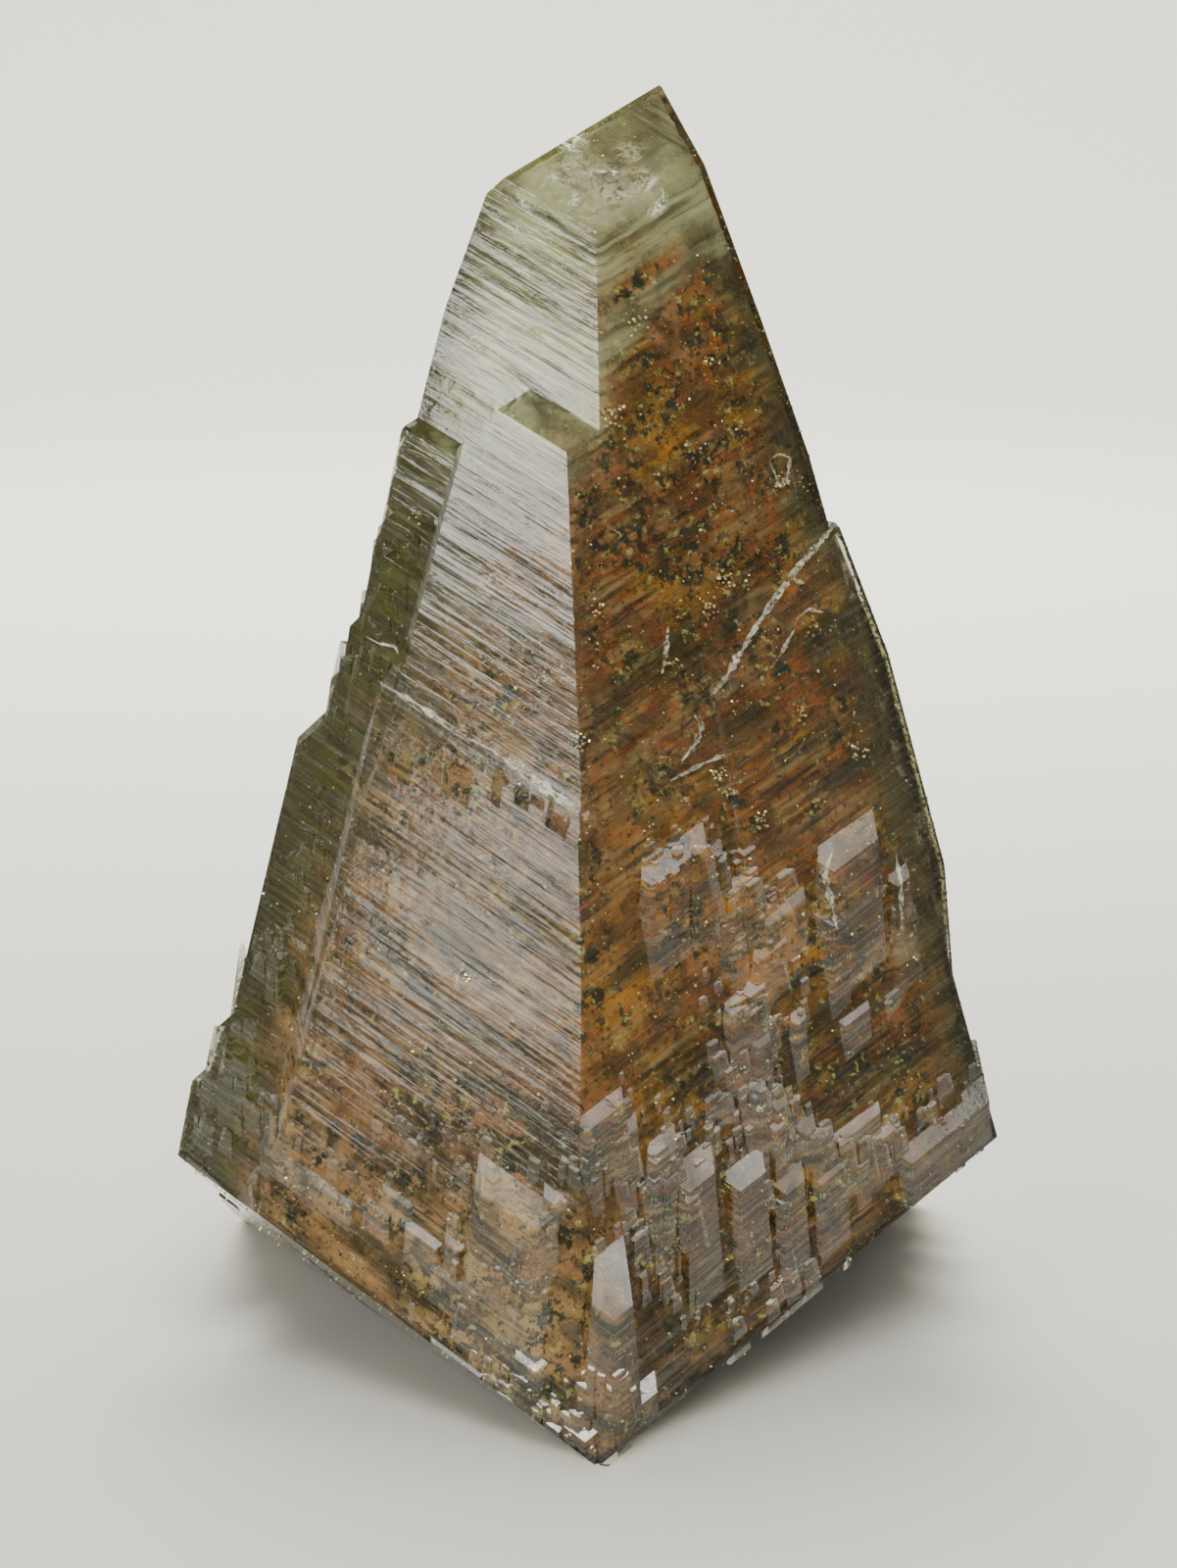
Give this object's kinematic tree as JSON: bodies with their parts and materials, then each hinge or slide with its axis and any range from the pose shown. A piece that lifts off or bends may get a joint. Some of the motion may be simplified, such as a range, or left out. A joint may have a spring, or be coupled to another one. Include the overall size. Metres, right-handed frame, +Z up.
{
  "type": "scalenohedral calcite crystal",
  "caption": "Steep six-sided point of brown, see-through calcite with stepped plates and small parallel crystals on its faces, standing on a flat cut.",
  "frame": {"origin": "bottom centre of the crystal's box, on the flat cut that it stands on", "axes": "+Z up along the crystal's long axis, -Y towards the front edge between the two faces that the picture shows, +X to the right seen from the front"},
  "size_m": [0.0772, 0.084, 0.1166],
  "materials": {
    "calcite": "see-through olive calcite clouded with rust-brown inclusions, glossy faces with fine growth striations"
  },
  "bodies": {
    "root": {"calcite_crystal": "calcite"}
  },
  "joints": []
}
